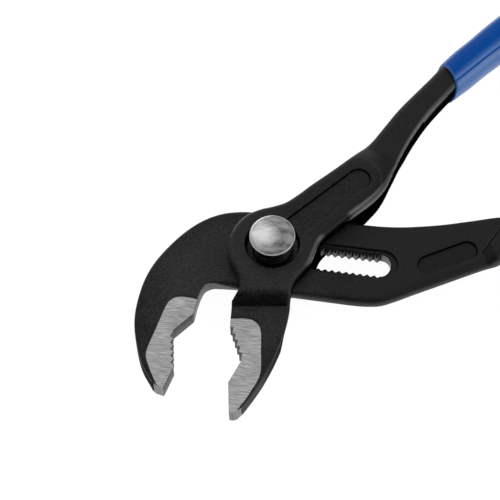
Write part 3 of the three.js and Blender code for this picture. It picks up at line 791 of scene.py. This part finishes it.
def buildBoxLever():
    s = boxLever
    shell = Shell()
    teeth = sawTeeth((-8.25, -25.5), (-3.65, -34.9), 5, 0.9, 0.35)
    runs = [
        [(-4.5, -51.3), (-3.6, -51.38), (-2.6, -51.0)],
        [(-2.6, -51.0), (-1.1, -49.3), (0.0, -47.3), (1.5, -44.2), (2.95, -40.9), (4.1, -37.7),
         (5.15, -34.4), (6.0, -31.2), (6.7, -27.9), (7.15, -24.7), (7.45, -21.5), (7.5, -18.3),
         (7.3, -14.6), (7.4, -12.2), (8.2, -9.6), (9.7, -7.1), (11.4, -4.4), (12.4, -0.4), (13.2, 2.8),
         (14.8, 5.4), (17.4, 8.5), (20.1, 11.7), (25.4, 17.7), (28.7, 22.5), (30.8, 28.2), (32.8, 35.5),
         (35.4, 42.9), (38.7, 50.1), (43.7, 58.55), (47.65, 64.9), (50.5, 68.6)],
        [(50.5, 68.6), (43.6, 73.5)],
        [(43.6, 73.5), (41.1, 69.7), (37.65, 64.2), (34.6, 59.6), (29.7, 52.1), (26.0, 45.1),
         (23.4, 40.1), (20.3, 35.3), (17.6, 31.3), (12.9, 25.9), (7.9, 20.6), (4.7, 17.0), (1.5, 14.0),
         (-2, 12.2), (-5.3, 10.8), (-8.9, 8.3), (-11.4, 4.6), (-12.5, 0.2), (-12.3, -3.6), (-11.0, -7.0),
         (-9.1, -9.5), (-7.85, -11.8), (-7.4, -13.4), (-7.2, -15.0)],
        [(-7.2, -15.0), (-8.9, -18.2)],
        [(-8.9, -18.2), (-8.5, -23.2), (-8.25, -25.5)],
        *[[a, b] for a, b in zip(teeth, teeth[1:])],
        [teeth[-1], (-3.4, -35.3)],
        [(-3.4, -35.3), (-6.05, -42.6)],
        [(-6.05, -42.6), (-4.5, -51.3)],
    ]
    outline = withCrossings(outlineOf(runs), boxWindow)
    x, y = outline.T
    handle = np.clip((y - 30) / 22, 0, 1)
    radius = np.where(y < -18, s["outerEdge"], s["edge"] + (s["shankEdge"] - s["edge"]) * handle)
    radius = np.where(onJawSide(outline) | (y < -50.9), s["jawEdge"], radius)
    radius = np.minimum(radius, eased(radius, outline, 1.2))
    sides = s["boreSides"]
    bore = circle(s["bore"], sides)
    rear = circle(s["rearBore"], sides)
    edges = [radius, np.full(sides, s["boreRound"])]
    panelAngle = math.radians(s["panelAngle"])
    panelWay = np.array([math.cos(panelAngle), math.sin(panelAngle)])
    stepWay = np.array(s["stepWay"])
    finishes = {
        "black": black, "ground": ground, "flank": flank, "soot": shadeBlack, "tooth": shadedToothSteel,
        "end": endSteel, "edge": edgeShadeBlack,
    }
    pick = {name: number for number, name in enumerate(finishes)}

    def panelSlope(p):
        return rise(p @ panelWay, 26, 32, 2) * rise(-ovalGap(p, *s["panel"]), 0, 6.0, 1.3)

    def backHeight(p):
        step = np.where(p[:, 1] < -6, rise(p @ stepWay, 14.9, 18.1, 0.8, 0.12), 0)
        body = s["cheek"] - (s["cheek"] - s["jaw"]) * step - (s["cheek"] - s["shank"]) * panelSlope(p)
        return body - s["groundDepth"] * groundDrop(p, boxGround)

    def frontHeight(p):
        return backHeight(p) - s["troughDepth"] * recessDrop(p, s["trough"])

    def pickGround(p):
        return np.where(signedGap(p, boxGround) > 0, pick["ground"], pick["black"])

    # painted shade on the rear cheek's right edge
    def pickBack(p):
        shaded = (signedGap(p, outline) < 2.2) & onHandSide(p) & (p[:, 1] > -10)
        return np.where(shaded, pick["soot"], pickGround(p))

    # painted shade under the handle's right edge and on the trough's walls
    def pickFront(p):
        under = (signedGap(p, outline) < np.interp(p[:, 1], [26, 30], [0, 0.36])) & onHandSide(p)
        return np.where(onRecessWall(p, s["trough"]) | under, pick["soot"], pickGround(p))

    def frontPaintedLight(p, share):
        # painted highlight along the handle's right edge, on the boss's upper left edge and round the panel's
        # end, and painted shade on the slopes and the step
        px, py = p.T
        rubbed = np.clip((1.0 - share) / 0.3, 0, 1) * np.interp(py, s["rubbedAt"], s["rubbed"])
        rim = 0.6 * np.clip(1 - np.abs(share - 0.25) / 0.3, 0, 1)
        rim *= np.clip((4 - px) / 4, 0, 1) * np.clip(py / 3, 0, 1)
        arc = 0.4 * np.clip(1 - np.abs(ovalGap(p, *s["panel"])) / 0.35, 0, 1)
        arc *= np.clip((p @ panelWay - 24) / 4, 0, 1)
        slope = panelSlope(p)
        wall = np.interp(p @ stepWay, [14.2, 15.2, 16.3, 18.1, 18.25, 24], [0, -0.7, -2, -2, -0.5, -0.35])
        dark = np.minimum(-2.2 * slope * (1 - slope), np.where(py < -8, wall, 0))
        return np.maximum(np.where(onHandSide(p), rubbed, rim), arc) + dark

    border = groundRows(boxGroundLine)
    stepRows = np.vstack([throughPoints([(-12, -16.9 - k), (12, -13.4 - k)], 0.5) for k in s["stepRows"]])
    start, end, half = s["panel"]
    panelRows = np.vstack([ovalLine(start, end, half + k, 0.4) for k in s["panelRows"]])
    panelRows = panelRows[panelRows @ panelWay > 24]
    frontExtras = [border, recessRows(s["trough"], 0.45), stepRows, panelRows]
    front = forgedFace(shell, [outline, bore], edges, frontHeight, frontExtras, 0.85, True,
                       pickFront, frontPaintedLight)

    # the rear cheek is a little narrower on the right
    handSide = onHandSide(outline)
    leanShare = np.clip((x - 4) / 2, 0, 1) * np.clip((-1 - y) / 6, 0, 1) * np.clip((y + 29) / 9, 0, 1)
    rootLean = np.interp(y, [15, 19, 23, 28, 33, 37], [0, 0.42, 0.7, 0.62, 0.25, 0])
    leanShare += np.where(handSide, rootLean, 0)
    leanBy = np.column_stack([s["lean"] * leanShare, np.zeros(len(x))])
    back = forgedFace(shell, [outline - leanBy, rear], edges, backHeight, [border, stepRows], 0.95, False,
                      pickBack)

    # the wall round the outline, open at the window
    middle = (outline + np.roll(outline, -1, axis=0)) / 2
    mx, my = middle.T
    gapped = isInside(middle, boxWindow)
    jawWall = onJawSide(middle)
    # painted shade on the handle's right walls and the step's wall; the jaw's outer walls take the darker black
    # with painted light
    walls = {
        "end": (my < -49.7) & (mx > -4.6),
        "tooth": jawWall & (my > -35.2),
        "flank": jawWall,
        "soot": (my > -19) & (mx > 0.7 * my) | (my < -14.8) & (my > -18.3),
        "edge": (my < -19) & ~jawWall,
    }
    picks = choose(walls, pick, pick["black"])
    # painted light on the jaw's outer walls, palest towards the tip
    wallPaintedLight = np.where(x > -4, np.interp(y, [-46, -41, -36, -30, -19], [0.3, 0.28, 0.1, 0.05, 0]), 0)
    frontLevel = np.array([shell.points[k][2] for k in front[0]])
    level = np.minimum(s["inner"], 0.85 * frontLevel)
    midFront = shell.add(outline, level)
    midBack = shell.add(outline - leanBy * s["midLean"], -level)
    least = s["leastDrop"]
    # the edge row drops lower along the handle's right edge, and carries a painted highlight
    highlightDrop = np.where(handSide, np.interp(y, [10, 12, 19, 23, 26], [least, 1.9, 1.7, 1.0, least]), least)
    highlightRow = shell.add(outline, np.maximum(frontLevel - highlightDrop, level + 0.1))
    shell.shine[highlightRow[0]:] = np.maximum(np.clip((highlightDrop - least) / 1.2, 0, 0.3), wallPaintedLight).tolist()
    for row in (midFront, midBack):
        shell.shine[row[0]:row[-1] + 1] = wallPaintedLight.tolist()
    shell.strip(front[0], highlightRow, np.where(highlightDrop > 0.4, pick["black"], picks))
    shell.strip(highlightRow, midFront, picks)
    shell.strip(midFront, midBack, picks, ~gapped)
    shell.strip(midBack, back[0], picks)

    # the two inner faces of the window, and its end walls
    rim = np.flatnonzero(gapped | np.roll(gapped, 1))
    corners = boxWindow[isInside(boxWindow, outline)]
    ends = [k for k in rim if gapped[k] != gapped[k - 1]]
    chains = windowChains(outline, ends, corners)
    spot = {k: n for n, k in enumerate(rim)}
    lookup = {("rim", k): spot[k] for k in ends} | {("corner", n): len(rim) + n for n in range(len(corners))}
    links = [(lookup[a], lookup[b]) for chain in chains for a, b in zip(chain, chain[1:])]
    holeAt = len(rim) + len(corners)
    ties = [(spot[k], spot[(k + 1) % len(outline)]) for k in rim if gapped[k]] + links
    ties += [(holeAt + k, holeAt + (k + 1) % sides) for k in range(sides)]
    # the window's faces take painted shade
    cheeks = []
    for holeRadius, wallRow, upward in ((s["sleeve"], midFront, False), (s["journal"], midBack, True)):
        hole = circle(holeRadius, sides)
        height = -s["inner"] if upward else s["inner"]
        cornerRow = shell.add(corners, height)
        holeRow = shell.add(hole, height)
        plan = np.vstack([outline[rim], corners, hole])
        index = np.concatenate([wallRow[rim], cornerRow, holeRow])

        def onCheek(p):
            return isInside(p, outline) & isInside(p, boxWindow) & ~isInside(p, hole)
        shell.cover(plan, index, [], onCheek, upward, lambda p: np.full(len(p), pick["soot"]), ties)
        cheeks.append((index, holeRow))
    (frontIndex, frontHole), (backIndex, backHole) = cheeks
    for a, b in links:
        p, q = plan[a], plan[b]
        left = np.array([[(p + q)[0] / 2 - (q - p)[1] * 0.01, (p + q)[1] / 2 + (q - p)[0] * 0.01]])
        u, v = (b, a) if isInside(left, boxWindow)[0] else (a, b)
        shell.face((backIndex[u], backIndex[v], frontIndex[v], frontIndex[u]), pick["soot"])

    # the button's counterbore and the pin's rear bore
    floorOuter = shell.add(bore, s["boreFloor"])
    floorInner = shell.add(circle(s["sleeve"], sides), s["boreFloor"])
    # painted shade on the counterbore's walls
    for upper, lower in ((front[1], floorOuter), (floorOuter, floorInner), (floorInner, frontHole)):
        shell.strip(upper, lower, np.full(sides, pick["soot"]))
    rearInner = shell.add(circle(s["journal"], sides), s["rearFloor"])
    rearOuter = shell.add(rear, s["rearFloor"])
    for upper, lower in ((backHole, rearInner), (rearInner, rearOuter), (rearOuter, back[1])):
        shell.strip(upper, lower)
    addPiece("box_jaw_lever_forging", shell.points, shell.faces, shell.picks, list(finishes.values()),
             "box_lever", ["box_jaw_lever"], 34, shell.shine)


buildBoxLever()

gripShape = {
    "length": 127.8, "lip": 0.95, "halfWidth": 5.75, "halfThick": 4.9, "square": 2.3, "sides": 120,
    "mouthWidth": 5.2, "mouthThick": 4.6, "mouthBack": 0.9, "lean": 0.38, "lowLean": 0.68, "sideLean": 0.3,
    "leanEnd": 24, "lead": 8, "cap": 8, "pathPoints": 1361, "mouthPoint": 80, "lipRings": (5, 10),
    "flankAt": (0, 53, 57, 124, 134, 226, 236, 303, 307, 360), "flankShine": (1, 1, 0, 0, 0.7, 0.7, 0, 0, 1, 1),
    "lineAt": (60, 63, 67, 73, 84), "lineShine": (0, 1.4, 1.3, 0.5, 0),
}
hookGrip = {"mouth": (72, 18), "start": 23.5, "end": 27.5}
boxGrip = {"mouth": (43, 65.1), "start": 51.5, "end": 41.5}


def buildGrip(name, where, body, node):
    g = gripShape
    stations = np.concatenate([np.linspace(0, 12, 16), np.linspace(13.5, g["length"] - g["cap"], 60)])
    fine = np.linspace(-g["lead"], g["length"], g["pathPoints"])
    heading = np.radians(where["start"] + (where["end"] - where["start"]) * fine / g["length"])
    stride = fine[1] - fine[0]
    strides = np.column_stack([np.cos(heading), np.sin(heading)])[:-1]
    path = np.vstack([[(0, 0)], np.cumsum(strides, axis=0) * stride])
    path += np.array(where["mouth"]) - path[g["mouthPoint"]]
    angle = np.arange(g["sides"]) * 2 * math.pi / g["sides"]

    def ring(along, halfWidth, halfThick, lean):
        cosine, sine = np.cos(angle), np.sin(angle)
        across = halfWidth * np.sign(cosine) * np.abs(cosine) ** (2 / g["square"])
        high = halfThick * np.sign(sine) * np.abs(sine) ** (2 / g["square"])
        slant = np.where(high < 0, g["lowLean"], g["lean"]) * high - g["sideLean"] * across - g["mouthBack"]
        at = np.clip(along + lean * slant, -g["lead"], g["length"])
        cx, cy, turn = (np.interp(at, fine, values) for values in (path[:, 0], path[:, 1], heading))
        return np.column_stack([cx + across * np.sin(turn), cy - across * np.cos(turn), high])

    def swell(along):
        near = rise(np.array([along]), 0, 7, 2)[0]
        waist = 0.15 * math.exp(-((along - 12) / 5) ** 2)
        palm = 0.25 * (rise(np.array([along]), 14, 22, 3)[0] - rise(np.array([along]), 70, 100, 10)[0])
        width = g["mouthWidth"] + (g["halfWidth"] - g["mouthWidth"]) * near - waist + palm
        thick = g["mouthThick"] + (g["halfThick"] - g["mouthThick"]) * near - waist * 0.4
        return width, thick

    rings = []
    inner = (g["mouthWidth"] - g["lip"], g["mouthThick"] - g["lip"])
    rings.append(ring(2.5, *inner, 1))
    rings.append(ring(0.5, *inner, 1))
    for turn in np.linspace(0, math.pi / 2, 5):
        grow = g["lip"] * 0.5 * (1 - math.cos(turn))
        rings.append(ring(0.45 * (1 - math.sin(turn)), inner[0] + grow, inner[1] + grow, 1))
    for turn in np.linspace(0.35, math.pi / 2, 4):
        grow = g["lip"] * (0.5 + 0.5 * math.sin(turn))
        rings.append(ring(0.5 * (1 - math.cos(turn)), inner[0] + grow, inner[1] + grow, 1))
    for along in stations[2:]:
        rings.append(ring(along, *swell(along), max(0, 1 - along / g["leanEnd"])))
    width, thick = swell(stations[-1])
    run = g["length"] - stations[-1] - 0.05
    for turn in np.linspace(0.12, math.pi / 2, 12):
        shrink = max(math.cos(turn), 0.01) ** 0.8
        rings.append(ring(stations[-1] + run * math.sin(turn), width * shrink, thick * shrink, 0))
    points = np.vstack(rings)
    faces = []
    count = g["sides"]
    for k in range(len(rings) - 1):
        for i in range(count):
            j = (i + 1) % count
            faces.append((k * count + i, (k + 1) * count + i, (k + 1) * count + j, k * count + j))
    last = (len(rings) - 1) * count
    faces.append([last + i for i in range(count)][::-1])
    faces.append(list(range(count)))
    # painted reflection: the flanks are painted paler and glossier, with a painted highlight line beside the
    # upper right ridge
    degrees = np.degrees(angle)
    flankShine = np.interp(degrees, g["flankAt"], g["flankShine"])
    lineShine = np.interp(degrees, g["lineAt"], g["lineShine"])
    shine = np.tile(0.8 * np.maximum(flankShine, lineShine), len(rings))
    lip = slice(*(k * count for k in g["lipRings"]))   # the rolled edge of the mouth
    # the rolled lip is painted paler and glossier too, as painted reflection
    shine[lip] = np.maximum(shine[lip], 0.5)
    addPiece(name, points, faces, [0] * len(faces), [vinyl], body, [node], 60, shine)


buildGrip("hook_lever_dipped_grip", hookGrip, "hook_lever", "hook_lever_grip")
buildGrip("box_lever_dipped_grip", boxGrip, "box_lever", "box_lever_grip")


def lathe(name, profile, materials, body, node, sides=96, sharpAngle=30):
    # profile runs from the axis at the top, outwards and down, to the axis at the bottom
    angle = np.arange(sides) * 2 * math.pi / sides
    points = [(0, 0, profile[0][1])]
    for radius, height in profile[1:-1]:
        points += [(radius * math.cos(a), radius * math.sin(a), height) for a in angle]
    points.append((0, 0, profile[-1][1]))
    faces = []
    rings = len(profile) - 2
    for i in range(sides):
        j = (i + 1) % sides
        faces.append((0, 1 + i, 1 + j))
        for k in range(rings - 1):
            a, b = 1 + k * sides, 1 + (k + 1) * sides
            faces.append((a + i, b + i, b + j, a + j))
        a = 1 + (rings - 1) * sides
        faces.append((len(points) - 1, a + j, a + i))
    addPiece(name, points, faces, [0] * len(faces), materials, body, [node], sharpAngle)


button = {
    "radius": 6.5, "rim": 11.8, "dome": 0.5, "domeRings": 14, "edge": 0.35, "under": 9.4, "undercut": 0.6,
    "sleeve": 4.2, "sleeveEnd": 4.25, "sleeveEdge": 0.15, "neck": 2.7, "boreTop": 10.2,
}


def buildButton():
    b = button
    radius, rim, sleeve, end = (b[k] for k in ("radius", "rim", "sleeve", "sleeveEnd"))
    shares = [k / b["domeRings"] for k in range(b["domeRings"] + 1)]
    dome = [((radius - b["edge"]) * share, rim + b["dome"] * (1 - share ** 2)) for share in shares]
    side = [(radius - 0.12, rim - 0.1), (radius, rim - 0.3), (radius - 0.08, rim - 0.5),
            (radius - b["undercut"], b["under"])]
    stem = [(sleeve, b["under"]), (sleeve, end + b["sleeveEdge"]), (sleeve - b["sleeveEdge"], end),
            (b["neck"], end), (b["neck"], b["boreTop"]), (0, b["boreTop"])]
    lathe("push_button_cap", dome + side + stem, [capMetal], "lock_pin", "push_button")


buildButton()

spring = {"radius": 5.5, "wire": 0.8, "low": 5.0, "high": 8.85, "turns": 2.25, "steps": 48, "wireSides": 12}


def buildSpring():
    # one coil swept along a spiral by nodes
    group = bpy.data.node_groups.new("coil_spring", "GeometryNodeTree")
    group.interface.new_socket("Geometry", in_out="OUTPUT", socket_type="NodeSocketGeometry")
    sizes = {
        "Radius": spring["radius"] * mm, "Wire": spring["wire"] * mm / 2,
        "Height": (spring["high"] - spring["low"]) * mm, "Turns": spring["turns"],
    }
    names = {}
    for key, value in sizes.items():
        socket = group.interface.new_socket(key, in_out="INPUT", socket_type="NodeSocketFloat")
        names[key] = socket.identifier
    enter = group.nodes.new("NodeGroupInput")
    leave = group.nodes.new("NodeGroupOutput")
    spiral = group.nodes.new("GeometryNodeCurveSpiral")
    spiral.inputs["Resolution"].default_value = spring["steps"]
    spiralSizes = {"Rotations": "Turns", "Start Radius": "Radius", "End Radius": "Radius", "Height": "Height"}
    for target, key in spiralSizes.items():
        group.links.new(enter.outputs[key], spiral.inputs[target])
    section = group.nodes.new("GeometryNodeCurvePrimitiveCircle")
    section.inputs["Resolution"].default_value = spring["wireSides"]
    group.links.new(enter.outputs["Wire"], section.inputs["Radius"])
    sweep = group.nodes.new("GeometryNodeCurveToMesh")
    sweep.inputs["Fill Caps"].default_value = True
    group.links.new(spiral.outputs[0], sweep.inputs["Curve"])
    group.links.new(section.outputs[0], sweep.inputs["Profile Curve"])
    smooth = group.nodes.new("GeometryNodeSetShadeSmooth")
    group.links.new(sweep.outputs[0], smooth.inputs[0])
    real = group.nodes.new("GeometryNodeRealizeInstances")
    group.links.new(smooth.outputs[0], real.inputs[0])
    coat = group.nodes.new("GeometryNodeSetMaterial")
    coat.inputs["Material"].default_value = wireMetal
    group.links.new(real.outputs[0], coat.inputs[0])
    group.links.new(coat.outputs[0], leave.inputs[0])
    holder = bpy.data.objects.new("return_spring_coil", bpy.data.meshes.new("return_spring_seed"))
    scene.collection.objects.link(holder)
    modifier = holder.modifiers.new("coil", "NODES")
    modifier.node_group = group
    for key, value in sizes.items():
        modifier[names[key]] = value
    evaluated = holder.evaluated_get(bpy.context.evaluated_depsgraph_get())
    mesh = bpy.data.meshes.new_from_object(evaluated)
    holder.modifiers.remove(modifier)
    mesh.transform(Matrix.Translation((pivot[0], pivot[1], pivot[2] + spring["low"] * mm)))
    holder.data = mesh
    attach(holder, "pin_carrier")
    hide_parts("return_spring")
    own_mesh(holder)
    print("return_spring_coil faces", len(mesh.polygons))


buildSpring()

# the hidden pieces keep their solids' shapes
for nodeName, finish in (("pivot_pin", capMetal), ("spring_seat", wireMetal), ("retaining_ring", wireMetal)):
    for slotOfNode in bpy.data.objects[nodeName].material_slots:
        slotOfNode.material = finish

# the focal length is in pixels, the distance in millimetres, and the pin's place in pixels of the square frame
view = {
    "azimuth": 11.5, "elevation": 61.8, "roll": -3.0, "frame": 500, "sensor": 36, "clipEnd": 20,
    "pixels": 2200, "distance": 2200 / 3.5, "pivotX": 272.95, "pivotY": 254.9,
}


def buildCamera():
    azimuth, elevation, roll = (math.radians(view[k]) for k in ("azimuth", "elevation", "roll"))
    flatRight = np.array([math.cos(azimuth), math.sin(azimuth), 0])
    ahead = np.array([-math.sin(azimuth), math.cos(azimuth), 0])
    look = ahead * math.cos(elevation) - np.array([0, 0, math.sin(elevation)])
    tall = ahead * math.sin(elevation) + np.array([0, 0, math.cos(elevation)])
    right = flatRight * math.cos(roll) + tall * math.sin(roll)
    up = tall * math.cos(roll) - flatRight * math.sin(roll)
    toMillimetres = view["distance"] / view["pixels"]
    shiftX, shiftY = ((view[k] - view["frame"] / 2) * toMillimetres for k in ("pivotX", "pivotY"))
    place = -(look * view["distance"] + right * shiftX - up * shiftY) * mm + pivot
    lens = bpy.data.cameras.new("photo_camera")
    lens.sensor_width = view["sensor"]
    lens.lens = view["pixels"] / view["frame"] * view["sensor"]
    lens.clip_end = view["clipEnd"]
    camera = bpy.data.objects.new("photo_camera", lens)
    camera.matrix_world = Matrix([[right[i], up[i], -look[i], place[i]] for i in range(3)] + [[0, 0, 0, 1]])
    scene.collection.objects.link(camera)
    scene.camera = camera


buildCamera()

studio = {"floor": 6.0, "paper": 0.86, "faint": 0.16, "shadowKeep": 0.96}


def buildFloor():
    mesh = bpy.data.meshes.new("paper_floor")
    h = studio["floor"] / 2
    mesh.from_pydata([(-h, -h, 0), (h, -h, 0), (h, h, 0), (-h, h, 0)], [], [(0, 1, 2, 3)])
    floor = bpy.data.objects.new("paper_floor", mesh)
    scene.collection.objects.link(floor)
    paper = bpy.data.materials.new("white_paper")
    paper.use_nodes = True
    tree = paper.node_tree
    tree.nodes.clear()
    path = tree.nodes.new("ShaderNodeLightPath")
    seen = Wire(tree, path.outputs["Is Camera Ray"])
    gloss = Wire(tree, path.outputs["Is Glossy Ray"])
    clear = Wire(tree, path.outputs["Is Transmission Ray"])
    matt = seen.node("ShaderNodeBsdfDiffuse", {}, {"Color": (studio["paper"],) * 3 + (1,)})
    faint = seen.node("ShaderNodeBsdfDiffuse", {}, {"Color": (studio["faint"],) * 3 + (1,)})
    glow = seen.node("ShaderNodeEmission", {}, {"Color": (1, 1, 1, 1), "Strength": studio["shadowKeep"]})
    bright = seen.node("ShaderNodeAddShader", {}, {0: faint, 1: glow})
    direct = seen.node("ShaderNodeMath", {"operation": "MAXIMUM"}, {0: seen, 1: seen.node(
        "ShaderNodeMath", {"operation": "MAXIMUM"}, {0: gloss, 1: clear})})
    mixed = seen.node("ShaderNodeMixShader", {}, {0: direct, 1: matt, 2: bright})
    output = tree.nodes.new("ShaderNodeOutputMaterial")
    tree.links.new(mixed.socket, output.inputs[0])
    mesh.materials.append(paper)


buildFloor()

# each lamp's place from the floor under the pin, its size and its power
lamps = {
    "back_softbox": ((-0.5, 1.0, 0.55), 0.7, 2.0),
    "right_softbox": ((1.1, -0.3, 0.5), 0.95, 4.0),
}


def buildLight():
    world = bpy.data.worlds.new("studio_room")
    scene.world = world
    world.use_nodes = True
    tree = world.node_tree
    tree.nodes.clear()
    place = Wire(tree, tree.nodes.new("ShaderNodeTexCoord").outputs["Generated"])
    high = place.node("ShaderNodeSeparateXYZ", {}, {0: place}, 2)
    back = place.node("ShaderNodeSeparateXYZ", {}, {0: place}, 1)
    shade = spread(high * 0.75 + back * 0.38, 0.05, 0.9, 0.04, 0.7)
    sky = place.node("ShaderNodeBackground", {}, {"Color": (1, 1, 1, 1), "Strength": shade})
    output = tree.nodes.new("ShaderNodeOutputWorld")
    tree.links.new(sky.socket, output.inputs[0])
    for name, (offset, size, power) in lamps.items():
        light = bpy.data.lights.new(name, "AREA")
        light.size = size
        light.energy = power
        lamp = bpy.data.objects.new(name, light)
        way = np.array(offset) / np.linalg.norm(offset)
        side = np.cross((0, 0, 1), way)
        side /= np.linalg.norm(side)
        up = np.cross(way, side)
        at = np.array(offset) + np.array([pivot[0], pivot[1], 0])
        lamp.matrix_world = Matrix([[side[i], up[i], way[i], at[i]] for i in range(3)] + [[0, 0, 0, 1]])
        scene.collection.objects.link(lamp)


buildLight()
print("camera, floor and light made")
